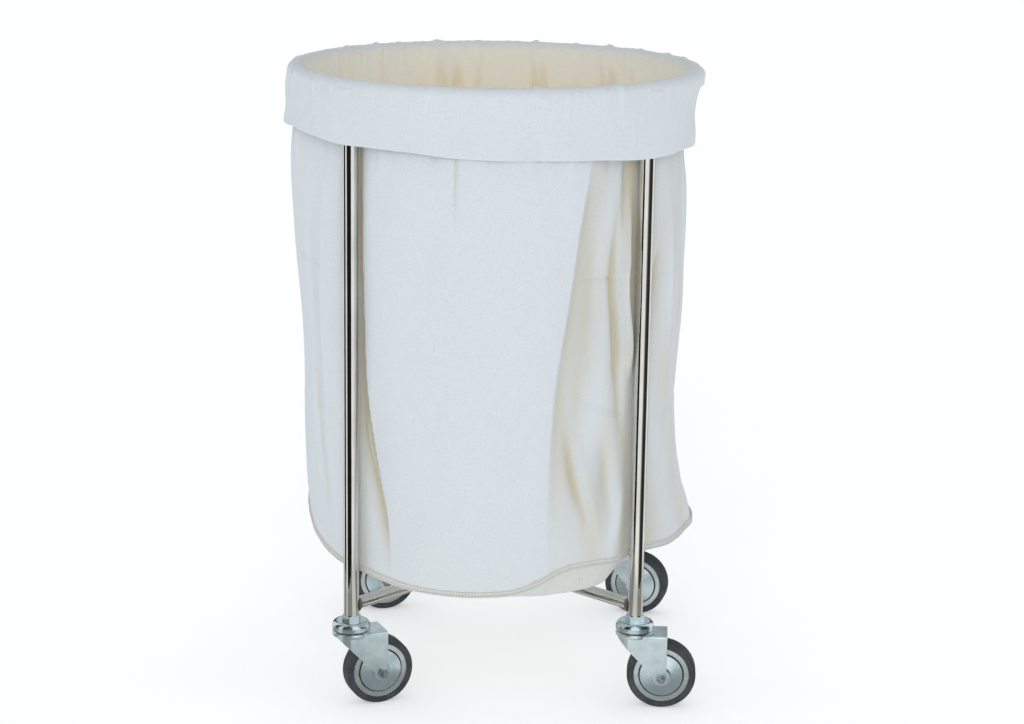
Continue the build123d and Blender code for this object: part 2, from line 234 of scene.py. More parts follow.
def natural_canvas(name, painted_shade_name, warm=PAINTED_SHADE_CANVAS):
    """Plain-weave cotton: threads both ways, slubs along them, seed flecks, and a warmer, darker colour mixed in as far
    as the named attribute says, which on the wall, cuff and base is painted shade in folds, hollows and inside.
    """
    material, shader, surface = new_material(name, {"Sheen Weight": 0.15, "Sheen Roughness": 0.6})
    surface["Specular IOR Level"].default_value = 0.2
    cloth = shader.node("ShaderNodeUVMap", {"uv_map": "cloth"})
    across, along = shader.axes(cloth)[:2]
    threads = (across * (math.tau / THREAD_PITCH)).sin() * (along * (math.tau / THREAD_PITCH)).sin()
    weft = shader.noise(shader.stretched(cloth, (60.0, 900.0, 1.0)), 1.0, 2.0)
    warp = shader.noise(shader.stretched(cloth, (900.0, 60.0, 1.0)), 1.0, 2.0)
    slubs = weft + warp
    patches = shader.noise(cloth, 9.0, 3.0)
    mottle = shader.noise(cloth, 420.0, 3.0, 0.7)
    flecks = shader.noise(cloth, 520.0, 1.0).above(0.69, 0.74)
    # painted shade: how far each point goes toward the warm shaded colour
    folds = shader.node("ShaderNodeAttribute", {"attribute_name": painted_shade_name}, output=2)
    tone = shader.mix(folds, BRIGHT_CANVAS, warm)
    tone = shader.mix(slubs.above(0.75, 1.3) * 0.14, tone, (0.47, 0.46, 0.42))
    tone = shader.mix(patches.above(0.45, 0.75) * 0.10, tone, (0.66, 0.655, 0.60))
    tone = shader.mix(mottle.above(0.35, 0.65) * 0.26, tone, (0.50, 0.525, 0.54))
    tone = shader.mix(flecks * 0.45, tone, (0.30, 0.26, 0.19))
    shader.feed(surface["Base Color"], tone)
    shader.feed(surface["Roughness"], 0.86 + 0.08 * slubs)
    weave = shader.bump(threads, 0.00006)
    shader.feed(surface["Normal"], shader.bump(slubs, 0.00035, under=weave))
    return material


def sewing_thread():
    material, shader, surface = new_material("sewing_thread", {"Sheen Weight": 0.2})
    twist = shader.noise(shader.on_part(), 900.0, 2.0)
    shader.feed(surface["Base Color"], shader.mix(twist, (0.50, 0.46, 0.37), (0.36, 0.32, 0.24)))
    shader.feed(surface["Roughness"], 0.7 + 0.2 * twist)
    return material


finishes = {
    "upright": polished_stainless("upright_stainless", (6.0, 6.0, 0.25)),
    "top_ring": polished_stainless("ring_stainless", (3.0, 3.0, 3.0)),
    "brace": polished_stainless("brace_stainless", (2.0, 2.0, 8.0)),
    "weld": heat_tinted_weld(),
    "pressed": bright_zinc("pressed_zinc", (0.82, 0.95, 0.99), (0.60, 0.75, 0.82), 0.22),
    "guard": bright_zinc("guard_zinc", (0.78, 0.93, 0.99), (0.60, 0.77, 0.86), 0.15),
    "cup": bright_zinc("cup_zinc", (0.76, 0.88, 0.94), (0.56, 0.68, 0.74), 0.10),
    "rim": bright_zinc("rim_zinc", (0.84, 0.90, 0.93), (0.62, 0.69, 0.73), 0.18),
    "turned": turned_steel(),
    "rubber": grey_rubber(),
}

node_finishes = [
    ("top_ring", "top_ring"),
    ("upright", "upright"),
    ("brace_welds", "weld"),
    ("ring_welds", "weld"),
    ("brace", "brace"),
    ("stem_sockets", "turned"),
    ("stem", "cup"),
    ("bearing_cup", "cup"),
    ("fork", "pressed"),
    ("thread_guards", "guard"),
    ("wheel_rim", "rim"),
    ("tyre", "rubber"),
    ("swivel_balls", "turned"),
    ("axle", "turned"),
]

for name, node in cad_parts.items():
    for start, finish in node_finishes:
        if name.startswith(start):
            node.data.materials.clear()
            node.data.materials.append(finishes[finish])
            break

# ---------------------------------------------------------------- cloth helpers

ring_low, ring_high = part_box("top_ring")
TUBE = (ring_high[2] - ring_low[2]) / 2
RING = ring_high[0] - TUBE
RING_HEIGHT = ring_high[2] - TUBE
CLOTH = 0.0010
OVER_RING = TUBE + 0.0007 + CLOTH / 2  # from the middle of the ring's tube to the middle of the cloth
UPRIGHTS = (-135, -45, 45, 135)

rng = np.random.default_rng(11)  # one seeded source for every ripple, so the order of the calls matters


def smooth_through(stops, places, turn=None):
    """A smooth curve through (place, value) stops. With a turn it joins up with itself after one."""
    marks, values = np.array(sorted(stops), dtype=float).T
    if turn:
        marks = np.concatenate([marks - turn, marks, marks + turn])
        values = np.tile(values, 3)
    slopes = np.gradient(values, marks)
    left = np.clip(np.searchsorted(marks, places) - 1, 0, len(marks) - 2)
    right = left + 1
    gap = marks[right] - marks[left]
    t = np.clip((places - marks[left]) / gap, 0.0, 1.0)
    ends = (1 + 2 * t) * (1 - t) ** 2 * values[left] + t**2 * (3 - 2 * t) * values[right]
    return ends + gap * t * (1 - t) * ((1 - t) * slopes[left] - t * slopes[right])


def around(stops, angles):
    return smooth_through(stops, angles, turn=360)


def between_lines(lines, angles, heights):
    """A surface through lines that are given, each at its own angle, as stops in height."""
    places = sorted(lines)
    total = np.zeros(heights.shape)
    for place in places:
        share = around([(other, 1.0 if other == place else 0.0) for other in places], angles)
        total += share * smooth_through([(z * MM, r * MM) for z, r in lines[place]], heights)
    return total


def fold(angles, heights, line, height, spread, crest=0.15):
    """How far a fold stands out of the cloth: its line and height are stops in mm, its spread is in degrees."""
    middle = smooth_through([(z * MM, angle) for z, angle in line], heights)
    offset = (angles - middle + 180) % 360 - 180
    away = offset / np.where(offset < 0, spread[0], spread[1])
    away = np.sqrt(away**2 + crest**2) - crest
    return smooth_through([(z * MM, h * MM) for z, h in height], heights) * np.exp(-(away**1.4))


def lap(angles, heights, line, height, sharp, reach):
    """Cloth that drops away past a line, sharply, and comes back slowly. A negative reach drops to the left."""
    middle = smooth_through([(z * MM, angle) for z, angle in line], heights)
    past = np.maximum(((angles - middle + 180) % 360 - 180) * math.copysign(1, reach), 0.0)
    drop = (1 - np.exp(-past / sharp)) * np.exp(-((past / abs(reach)) ** 2))
    return -smooth_through([(z * MM, h * MM) for z, h in height], heights) * drop


def level_crease(angles, heights, line, height, spread):
    """A crease that runs round the cloth: its line and height are stops in degrees, its spread is in mm."""
    away = (heights - smooth_through([(angle, z * MM) for angle, z in line], angles)) / (spread * MM)
    return smooth_through([(angle, h * MM) for angle, h in height], angles) * np.exp(-np.abs(away) ** 1.3)


def gentle_waves(angles, heights, count, turns, climbs, size):
    """Soft ripples that join up round the cloth."""
    total = np.zeros(np.broadcast(angles, heights).shape)
    for wave in range(count):
        turn = rng.integers(*turns)
        climb = rng.uniform(*climbs)
        total += np.sin(turn * np.radians(angles) + climb * heights + rng.uniform(0, math.tau))
    return size * MM * total / math.sqrt(count)


def smoothed_around(values, degrees):
    """The same values with short ripples taken out, round the cloth."""
    columns = values.shape[1]
    span = degrees * columns / 360
    waves = np.fft.rfftfreq(columns)
    soften = np.exp(-2 * (math.pi * waves * span) ** 2)
    return np.fft.irfft(np.fft.rfft(values, axis=1) * soften, n=columns, axis=1)


def section_points(radii, heights, angles):
    turn = np.radians(angles)
    return np.stack([radii * np.cos(turn), radii * np.sin(turn), heights], axis=-1)


def clear_of_uprights(points, gap):
    """Pushes cloth inside the frame off the upright tubes, so it wraps against them."""
    for place in UPRIGHTS:
        axis = RING * np.array([math.cos(math.radians(place)), math.sin(math.radians(place))])
        away = points[..., :2] - axis
        distance = np.linalg.norm(away, axis=-1, keepdims=True)
        points[..., :2] += away / distance * np.maximum(TUBE + gap - distance, 0.0)
    return points


def new_piece(name, points, faces, materials, body="bag"):
    mesh = bpy.data.meshes.new(name)
    mesh.from_pydata(points.reshape(-1, 3).tolist(), [], faces.tolist() if hasattr(faces, "tolist") else faces)
    mesh.polygons.foreach_set("use_smooth", [True] * len(mesh.polygons))
    for material in materials:
        mesh.materials.append(material)
    mesh.update()
    piece = bpy.data.objects.new(name, mesh)
    bpy.context.scene.collection.objects.link(piece)
    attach(piece, body)
    return piece


def ring_faces(rows, columns):
    """Quads over rows of points that each run round the whole turn."""
    row, column = np.meshgrid(np.arange(rows - 1), np.arange(columns), indexing="ij")
    following = (column + 1) % columns
    corners = [row * columns + column, row * columns + following]
    corners += [(row + 1) * columns + following, (row + 1) * columns + column]
    return np.stack(corners, axis=-1).reshape(-1, 4)


def lay_out_cloth(piece, spacing, along, columns):
    """The cloth's own measure, in metres, for its weave: round the turn and along each column."""
    rows = along.shape[0]
    row, column = np.meshgrid(np.arange(rows - 1), np.arange(columns), indexing="ij")
    u = np.stack([column, column + 1, column + 1, column], axis=-1) * spacing
    following = (column + 1) % columns
    v = np.stack(
        [along[row, column], along[row, following], along[row + 1, following], along[row + 1, column]], axis=-1
    )
    layer = piece.data.uv_layers.new(name="cloth")
    layer.data.foreach_set("uv", np.stack([u, v], axis=-1).astype(np.float32).ravel())


def shade(piece, name, values):
    attribute = piece.data.attributes.new(name, "FLOAT", "POINT")
    attribute.data.foreach_set("value", np.clip(values, 0.0, 1.0).astype(np.float32).ravel())


def thicken(piece, thickness, offset=0.0, back_material=0):
    solidify = piece.modifiers.new("thickness", "SOLIDIFY")
    solidify.thickness = thickness
    solidify.offset = offset
    solidify.material_offset = back_material
    solidify.use_even_offset = False


def distance_along(points):
    steps = np.linalg.norm(np.diff(points, axis=0), axis=-1)
    return np.concatenate([np.zeros((1, points.shape[1])), np.cumsum(steps, axis=0)])


# ---------------------------------------------------------------- the canvas bag

COLUMNS = 720
WALL_ROWS = 170
RING_ROWS = 18
CUFF_ROWS = 34
OFF_UPRIGHT = 0.0006  # gap between the cloth and an upright
CUFF_OFF_UPRIGHT = 0.0034
HEM_BEND = 0.0011  # radius of the turned-in edge of the cuff
HEM_TURNED_IN = 0.014
GIRTH_RADIUS = 0.285  # of the bag, for the measure of its cloth
angles = np.arange(COLUMNS) * 360 / COLUMNS - 180

# Heights in mm of the bag's bottom seam and of the foot of its turned-down cuff, by angle from +X
SEAM_HEIGHT = [(-180, 246), (-170, 244), (-155, 217), (-145, 205), (-137, 202), (-127, 196), (-118, 191), (-107, 189),
               (-94, 189), (-84, 194), (-77, 206), (-70, 221), (-61, 224), (-50, 221), (-41, 225), (-25, 221),
               (-8, 226), (10, 224), (30, 212), (55, 203), (80, 197), (105, 200), (130, 214), (150, 226), (166, 240)]
CUFF_FOOT = [(-178, 826), (-157, 829), (-136, 823), (-117, 821), (-101, 816), (-85, 814), (-64, 811), (-47, 807),
             (-33, 809), (-12, 806), (8, 811), (30, 806), (60, 812), (95, 817), (125, 815), (155, 824)]

# Radius of the wall in mm, down lines at angles round the bag, as (height, radius)
WALL_LINES = {
    -180: [(897, 278), (884, 279), (860, 286), (811, 293), (740, 294), (700, 291), (619, 286), (558, 282), (460, 280),
           (375, 281), (281, 278), (250, 275), (218, 279)],
    -158: [(897, 278), (884, 279), (811, 290), (700, 290), (558, 285), (400, 282), (281, 278), (220, 276)],
    -142: [(897, 278), (884, 278), (811, 284), (650, 285), (500, 282), (300, 278), (205, 275)],
    -135: [(897, 278), (811, 277), (500, 276), (300, 275), (200, 274)],
    -128: [(897, 278), (884, 278), (811, 287), (605, 287), (463, 283), (352, 277), (258, 275), (197, 275)],
    -120: [(897, 278), (884, 279), (811, 291), (650, 292), (463, 291), (352, 286), (258, 279), (192, 276)],
    -110: [(897, 278), (884, 279), (811, 293), (650, 294), (500, 293), (350, 291), (250, 286), (190, 279)],
    -90: [(897, 278), (884, 279), (811, 294), (650, 295), (500, 294), (350, 292), (250, 287), (190, 280)],
    -70: [(897, 278), (884, 279), (811, 292), (650, 292), (500, 291), (350, 288), (250, 284), (220, 281)],
    -60: [(897, 278), (884, 279), (811, 287), (650, 286), (500, 285), (350, 284), (250, 281), (224, 279)],
    -52: [(897, 278), (884, 278), (811, 280), (622, 284), (520, 281), (350, 280), (250, 279), (221, 277)],
    -45: [(897, 278), (811, 277), (500, 276), (300, 275), (222, 274)],
    -38: [(897, 278), (884, 278), (811, 283), (650, 284), (480, 281), (300, 281), (225, 281)],
    -22: [(897, 278), (884, 278), (811, 281), (700, 285), (560, 283), (400, 278), (300, 282), (258, 288), (224, 291)],
    0: [(897, 278), (884, 278), (783, 276), (745, 281), (686, 283), (626, 282), (566, 280), (490, 274), (381, 271),
        (320, 279), (289, 285), (258, 295), (227, 303)],
    22: [(897, 278), (884, 279), (811, 285), (650, 287), (450, 281), (320, 279), (258, 284), (215, 288)],
    38: [(897, 278), (884, 278), (811, 284), (650, 285), (450, 282), (300, 279), (208, 278)],
    45: [(897, 278), (811, 277), (500, 276), (300, 275), (205, 274)],
    52: [(897, 278), (884, 278), (811, 286), (650, 286), (450, 283), (300, 278), (204, 275)],
    68: [(897, 278), (884, 279), (811, 291), (650, 292), (450, 289), (300, 284), (200, 278)],
    92: [(897, 278), (884, 279), (811, 293), (650, 294), (450, 291), (300, 286), (198, 280)],
    114: [(897, 278), (884, 279), (811, 290), (650, 292), (450, 289), (300, 284), (203, 278)],
    128: [(897, 278), (884, 278), (811, 285), (650, 286), (450, 284), (300, 279), (212, 275)],
    135: [(897, 278), (811, 277), (500, 276), (300, 275), (218, 274)],
    142: [(897, 278), (884, 278), (811, 285), (650, 286), (450, 281), (300, 278), (222, 275)],
    157: [(897, 278), (884, 279), (811, 290), (650, 290), (450, 283), (300, 279), (232, 277)],
}

# Radius of the cuff in mm, down lines at angles round the bag
CUFF_LINES = {
    -180: [(897, 303), (880, 305), (846, 305), (826, 308), (815, 308)],
    -158: [(897, 303), (880, 304), (846, 305), (820, 307)],
    -135: [(897, 303), (880, 304.5), (815, 305.5)],
    -112: [(897, 303), (860, 302), (815, 302)],
    -90: [(897, 302.5), (860, 300.5), (815, 300)],
    -66: [(897, 302.5), (860, 300.5), (810, 300)],
    -45: [(897, 302.5), (880, 304), (805, 305)],
    -22: [(897, 302), (865, 297), (840, 296), (805, 298)],
    0: [(897, 300), (889, 296), (865, 289), (842, 287), (826, 290), (805, 289)],
    22: [(897, 302), (865, 297), (840, 295), (805, 296)],
    45: [(897, 302.5), (880, 304), (805, 305)],
    68: [(897, 302.5), (860, 301), (810, 302)],
    92: [(897, 302.5), (860, 300), (815, 301)],
    114: [(897, 302.5), (860, 301), (815, 302)],
    135: [(897, 303), (880, 304.5), (815, 305)],
    157: [(897, 303), (860, 303), (820, 304)],
}

# Folds of the wall: line down the cloth (height, angle), height out of it (height, mm), spread each way, crest
WALL_FOLDS = [
    # the pleat that hangs from the middle of the cuff
    ([(900, -102), (688, -102)], [(860, -2.4), (790, -2.0), (740, -1.0), (690, 0)], (0.35, 1.5), 0.05),
    ([(900, -101), (688, -100.6)], [(860, 1.4), (790, 1.2), (740, 0.5), (690, 0)], (0.8, 5), 0.2),
    # the slope to the right of the long fold
    ([(811, -58), (714, -60), (631, -61), (505, -64), (362, -66), (230, -66)],
     [(860, 0), (800, -1.6), (700, -2.8), (560, -2.4), (450, -2.0), (300, -2.0), (230, -1)], (4, 6), 0.5),
    # the crease beside the left upright
    ([(430, -132.5), (400, -131.2), (330, -127), (300, -125)],
     [(450, 0), (410, 2.0), (350, 2.6), (300, 0)], (0.5, 0.9), 0.08),
    # the bent fold beside the right upright
    ([(760, -49.0), (713, -49.8), (622, -51.8), (534, -48.6), (500, -47.6)],
     [(770, 0), (713, 4.0), (622, 5.6), (534, 3.8), (490, 0)], (0.7, 1.6), 0.08),
    ([(760, -52.5), (622, -54.2), (534, -51.2)],
     [(770, 0), (700, -2.6), (600, -3.2), (520, -2.0), (480, 0)], (2.4, 0.9), 0.2),
    ([(760, -56), (560, -57)], [(780, 0), (681, 1.8), (600, 1.0), (540, 0)], (2.6, 2.2), 0.5),
    ([(400, -66), (371, -65), (294, -60), (260, -58)], [(420, 0), (371, 3.0), (300, 3.4), (240, 0)], (1.2, 2.6), 0.2),
    ([(430, -70), (371, -68), (300, -63.5)], [(450, 0), (371, -2.0), (300, -2.2), (250, 0)], (1.4, 1.0), 0.3),
    ([(400, -57), (300, -54.5)], [(440, 0), (350, -3.6), (280, -2.4), (240, 0)], (2.6, 2.2), 0.4),
    ([(330, -49), (232, -53)], [(350, 0), (290, 3.0), (236, 1.8)], (1.6, 2.0), 0.3),
    ([(811, -50.5), (700, -50.8)], [(860, 0), (811, -2.6), (720, -2.2), (660, 0)], (1.2, 1.6), 0.2),
    ([(560, -53), (400, -50)], [(600, 0), (500, -2.4), (420, -1.6), (360, 0)], (2.0, 1.4), 0.3),
    # beyond the right upright
    ([(690, -36), (669, -37), (557, -41), (520, -42)],
     [(700, 0), (650, -2.0), (560, -1.8), (515, 0)], (1.0, 1.6), 0.15),
    ([(811, -31), (500, -30), (300, -34)], [(860, 0), (750, 2.0), (560, 2.8), (400, 1.6), (300, 0)], (3.5, 3), 0.4),
    ([(811, -18), (560, -16), (300, -20)],
     [(860, 0), (760, -2.0), (560, -1.4), (400, -2.4), (300, 0)], (2.6, 3.5), 0.4),
    ([(430, -24), (300, -14), (228, -9)], [(440, 0), (380, 1.6), (280, 3.6), (228, 3.0)], (2.6, 3.0), 0.25),
    # the left side
    ([(811, -150), (560, -148), (300, -150)], [(860, 0), (760, 1.2), (560, 2.2), (400, 1.4), (300, 0)], (3.5, 3), 0.4),
    ([(560, -160), (330, -152), (215, -147)], [(580, 0), (460, -1.6), (330, -2.2), (215, -1)], (1.8, 2.6), 0.25),
    # the back and the far sides
    ([(811, 82), (500, 79), (260, 84)], [(860, 0), (780, 2.2), (500, 2.8), (300, 1.8), (230, 0)], (6, 3), 0.2),
    ([(811, 108), (560, 112), (300, 106)], [(860, 0), (780, -2.2), (560, -2.6), (400, -1.8), (300, 0)], (3, 6), 0.3),
    ([(811, 61), (560, 58), (300, 52)], [(860, 0), (780, 1.4), (560, 2.6), (400, 2.0), (300, 0.8)], (4, 2.4), 0.3),
    ([(811, 127), (560, 124), (300, 121)], [(860, 0), (780, 1.6), (560, 2.8), (400, 2.2), (260, 0.8)], (2.4, 5), 0.3),
    ([(811, 150), (560, 153), (300, 146)], [(860, 0), (780, 1.8), (560, 2.2), (400, 2.0), (260, 0)], (4, 4), 0.4),
    ([(811, 24), (560, 27), (300, 20)], [(860, 0), (780, 2.0), (560, 2.4), (400, 1.2), (280, 0)], (4, 3), 0.3),
]

# Where one part of the wall laps over the next: line (height, angle), drop (height, mm), sharpness and reach
LONG_FOLD = [(811, -64.4), (714, -68), (631, -70), (505, -74), (362, -75.5), (230, -75)]
LEFT_FOLD = [(811, -132.8), (700, -132.3), (605, -131.7), (474, -130.2), (367, -126.8), (288, -123.2),
             (240, -122.4)]
WALL_LAPS = [
    (LONG_FOLD, [(862, 0), (811, 3.2), (714, 4.6), (600, 5.2), (450, 5.0), (300, 4.0), (232, 1.5)], 0.8, 13),
    (LEFT_FOLD,
     [(862, 0), (811, 4.0), (605, 5.5), (463, 6.5), (352, 6.5), (258, 3.0), (200, 0.5)], 0.5, -6),
    ([(811, -33), (600, -30), (300, -33)], [(850, 0), (780, 1.6), (600, 2.4), (400, 1.8), (260, 0)], 0.6, 7),
    ([(811, -148), (560, -150), (300, -147)], [(850, 0), (780, 1.4), (600, 2.0), (400, 1.8), (260, 0)], 0.6, -7),
    ([(811, 118), (560, 113), (300, 109)], [(850, 0), (780, 2.6), (600, 4.0), (400, 3.6), (230, 0.6)], 0.5, 11),
    ([(811, 62), (560, 66), (300, 69)], [(850, 0), (780, 2.2), (600, 3.4), (400, 3.2), (230, 0.6)], 0.5, -10),
    ([(811, 32), (560, 27), (300, 24)], [(850, 0), (780, 1.6), (600, 3.0), (400, 2.6), (230, 0.6)], 0.5, -9),
    ([(811, 151), (560, 155), (300, 158)], [(850, 0), (780, 2.0), (600, 3.2), (400, 2.8), (260, 0.6)], 0.5, 9),
]

# Gathers under the ring, seen on the inside: angle at the ring, angle lower down, foot, depth, spread
GATHERS = [
    (149, 147, 760, -2.2, 1.6), (140, 141, 730, 2.4, 1.8), (128, 127, 700, -2.6, 1.5), (107, 104, 640, -5.0, 2.6),
    (101, 99, 720, 3.0, 1.4), (94, 94, 760, -2.0, 1.2), (76, 76, 600, -3.4, 0.6), (73.5, 73, 640, 2.6, 1.4),
    (62, 63, 740, 1.8, 2.0), (51.5, 52, 560, -3.6, 0.7), (49, 48.5, 580, 3.0, 0.9), (46.5, 46, 600, -2.6, 0.8),
    (39, 38, 700, -2.6, 1.0), (26, 27, 700, -2.8, 0.9), (18, 18, 740, 2.2, 0.8), (15, 14, 720, -2.4, 0.8),
    (4, 5, 760, 1.8, 1.4), (-12, -12, 770, -2.0, 1.2), (-58, -58, 790, -1.6, 1.0), (-71, -71, 790, 1.8, 1.0),
    (-81, -80, 790, -1.8, 0.9), (-108, -108, 790, -1.6, 0.9), (-124, -124, 770, 1.6, 1.2), (-148, -147, 760, -2.0, 1.2),
    (-166, -166, 760, 1.8, 1.4), (168, 168, 740, -2.2, 1.3),
]

# Puckers where the cloth goes over the ring: angle, height off the tube in mm, spread in degrees
PUCKERS = [
    (-108, 1.8, 0.8), (-81, 2.2, 0.7), (-78.8, 1.2, 0.5), (-71, 1.8, 0.6), (-58, 2.0, 0.9), (-128, 1.2, 1.0),
    (-148, 1.6, 1.2), (-165, 1.4, 1.0), (-38, 1.4, 1.0), (-22, 1.8, 1.2), (-6, 1.6, 0.8), (15, 2.0, 0.8), (26, 1.8, 0.9),
    (39, 1.6, 1.0), (51.5, 2.4, 0.7), (63, 1.4, 1.0), (76, 2.2, 0.7), (94, 1.4, 0.9), (107, 2.4, 1.2), (128, 1.6, 0.9),
    (140, 1.8, 1.1), (149, 1.4, 0.9), (171, 1.6, 1.0),
]

# Ironed creases that run round the bag: line (angle, height), height (angle, mm), spread in mm
IRONED = [
    ([(-69, 640), (-50, 637), (-22, 634)],
     [(-72, 0), (-66, -0.6), (-55, -0.8), (-48, 0), (-40, -0.8), (-30, -0.7), (-14, 0)], 3.0),
    ([(-176, 641), (-140, 640)], [(-179, 0), (-172, -0.6), (-150, -0.7), (-141, 0)], 3.0),
    ([(40, 655), (110, 643), (140, 640)], [(47, 0), (60, -0.7), (110, -0.8), (131, 0)], 3.5),
    ([(-168, 430), (-142, 418)], [(-174, 0), (-160, 0.6), (-146, 0.5), (-140, 0)], 5.0),
    ([(-36, 420), (-6, 436)], [(-40, 0), (-28, -0.9), (-14, -0.8), (-4, 0)], 5.0),
    ([(-66, 470), (-50, 442)], [(-70, 0), (-62, -0.9), (-54, -0.8), (-49, 0)], 6.0),
]


def painted_shade_outside(angles, heights):
    """Painted warm shade on the outside of the wall: where the cloth slopes away to the right of the long fold, beside
    the uprights, under the lap by the left upright, and low down.
    """
    ridge = smooth_through([(z * MM, angle) for z, angle in LONG_FOLD], heights)
    # painted shade on the slope right of the long fold, uneven in soft clouds
    past = np.clip((angles - ridge) / 2.0, 0, 1) * np.clip((30 - angles) / 60, 0, 1)
    low = smooth_through([(0.19, 1.0), (0.30, 0.5), (0.45, 0.15), (0.70, 0.0)], heights)
    clouds = gentle_waves(angles, heights, 12, (5, 40), (-30, 30), 1.0) / MM
    # painted shade in the strips of cloth beside the uprights
    beside = np.exp(-(((angles + 48.0) / 1.9) ** 2)) + 0.8 * np.exp(-(((angles + 133.0) / 1.6) ** 2))
    beside = beside * smooth_through([(0.19, 0.6), (0.50, 0.55), (0.65, 0.85), (0.82, 1.0)], heights)
    # painted shade under the lap by the left upright
    under = smooth_through([(z * MM, angle) for z, angle in LEFT_FOLD], heights) - angles
    tucked = np.exp(-((under / 3.6) ** 2)) * np.clip(under / 0.4 + 0.5, 0, 1)
    depth = [(0.19, 0.0), (0.23, 0.1), (0.29, 0.8), (0.40, 1.0), (0.52, 0.4), (0.60, 0.0)]
    tucked = tucked * smooth_through(depth, heights)
    return past * (0.24 + 0.14 * clouds) + 0.08 * low + 0.85 * beside + 0.9 * tucked


def build_wall():
    """One cloth: up the wall from the bottom seam, over the ring and down the cuff to its turned-in hem."""
    seam = around(SEAM_HEIGHT, angles) * MM
    rise = np.linspace(0, 1, WALL_ROWS)[:, None]
    heights = seam + (RING_HEIGHT - seam) * rise
    grid_angles = np.broadcast_to(angles, heights.shape)

    ripple = np.abs(gentle_waves(angles, 0.0, 14, (9, 90), (0, 1), 0.85))

    def lifted_off_ring(travel):
        """How far the cloth stands off the ring where it has travelled from -1, inside, to 1, outside."""
        lift = ripple + 0 * travel
        for place, height, spread in PUCKERS:
            slant = 1.6 * math.sin(place * 1.7) * travel
            uneven = 1 + 0.45 * np.sin(3.0 * travel + place)
            offset = (angles - place - slant + 180) % 360 - 180
            lift = lift + height * MM * uneven * np.exp(-np.abs(offset / spread) ** 1.6)
        return lift

    radii = between_lines(WALL_LINES, angles, heights) + (RING - OVER_RING - 278 * MM)
    folded = np.zeros(heights.shape)
    for line, height, spread, crest in WALL_FOLDS:
        folded += fold(grid_angles, heights, line, height, spread, crest)
    for line, height, sharp, reach in WALL_LAPS:
        folded += lap(grid_angles, heights, line, height, sharp, reach)
    for top_angle, low_angle, foot, depth, spread in GATHERS:
        depth = depth * 1.7
        stops = [(897, 0), (886, depth * 0.7), (850, depth), ((840 + foot) / 2, depth * 0.6), (foot, 0)]
        folded += fold(grid_angles, heights, [(897, top_angle), (foot, low_angle)], stops, (spread, spread), 0.3)
    for line, height, spread in IRONED:
        folded += level_crease(grid_angles, heights, line, height, spread)
    folded += gentle_waves(grid_angles, heights, 14, (3, 14), (-9, 9), 0.9)
    folded += gentle_waves(grid_angles, heights, 16, (14, 46), (-26, 26), 0.28)
    settled = smooth_through([(0.180, 0.5), (0.24, 1.0), (0.84, 1.0), (0.886, 0.15), (0.897, 0.0)], heights)
    near_ring = smooth_through([(0.85, 0.0), (0.88, 0.6), (0.897, 1.0)], heights)
    radii = radii + folded * settled - lifted_off_ring(-1.0) * near_ring
    wall = clear_of_uprights(section_points(radii, heights, angles), OFF_UPRIGHT + CLOTH / 2)

    bend = np.radians(np.linspace(180, 0, RING_ROWS))[1:-1, None]
    reach = OVER_RING + lifted_off_ring(np.cos(bend))
    over = section_points(RING + reach * np.cos(bend), RING_HEIGHT + reach * np.sin(bend), angles)

    foot = around(CUFF_FOOT, angles) * MM + gentle_waves(angles, 0.0, 6, (7, 23), (0, 1), 0.6)
    fall = np.linspace(0, 1, CUFF_ROWS)[:, None]
    cuff_heights = RING_HEIGHT + (foot - RING_HEIGHT) * fall
    cuff_radii = between_lines(CUFF_LINES, angles, cuff_heights)
    ends = smooth_through([(0.0, 1.0), (0.25, 0.35), (0.6, 0.0)], fall)
    cuff_radii = cuff_radii + (RING + OVER_RING + lifted_off_ring(1.0) - cuff_radii[0]) * ends
    ripple_share = smooth_through([(0, 0.1), (0.5, 0.7), (1, 1.2)], fall)
    cuff_ripple = gentle_waves(angles, cuff_heights, 12, (4, 26), (-30, 30), 0.7)
    cuff_radii = cuff_radii + cuff_ripple * ripple_share
    by_upright = sum(np.exp(-((((angles - place + 180) % 360) - 180) / 3.4) ** 2) for place in UPRIGHTS)
    clear = np.maximum(cuff_radii, RING + TUBE + CUFF_OFF_UPRIGHT)
    cuff_radii = np.where(by_upright > 0.5, clear, cuff_radii)
    cuff_radii[:4] = np.maximum(cuff_radii[:4], RING + OVER_RING)
    cuff_radii = smoothed_around(cuff_radii, 0.35)
    cuff = section_points(cuff_radii, cuff_heights, angles)

    turned = np.linspace(0, math.pi, 7)[1:, None]
    hem_radii = cuff_radii[-1] - HEM_BEND * (1 - np.cos(turned))
    hem = section_points(hem_radii, foot - HEM_BEND * np.sin(turned), angles)
    up = np.linspace(0, 1, 6)[1:, None]
    behind = section_points(hem_radii[-1] + 0 * up, foot + HEM_TURNED_IN * up, angles)

    points = np.concatenate([wall, over, cuff, hem, behind])
    faces = ring_faces(len(points), COLUMNS)
    piece = new_piece("canvas_bag", points, faces, [canvas_outside, canvas_inside])
    lay_out_cloth(piece, math.tau * GIRTH_RADIUS / COLUMNS, distance_along(points), COLUMNS)

    # Painted shade: the outside is darkened and warmed where the wall dips below its smoothed round
    turned_in = np.linalg.norm(wall[..., :2], axis=-1)
    dip = smoothed_around(turned_in, 3.5) - turned_in
    valley = np.clip(dip / 0.0060 - 0.12, 0, 1)
    outside = np.zeros(points.shape[:2])
    inside = np.zeros(points.shape[:2])
    outside[:WALL_ROWS] = painted_shade_outside(grid_angles, heights) + 0.95 * valley
    # painted shade on the face that lies against the ring and turns to the wall under the cuff
    outside[WALL_ROWS:] = 0.6
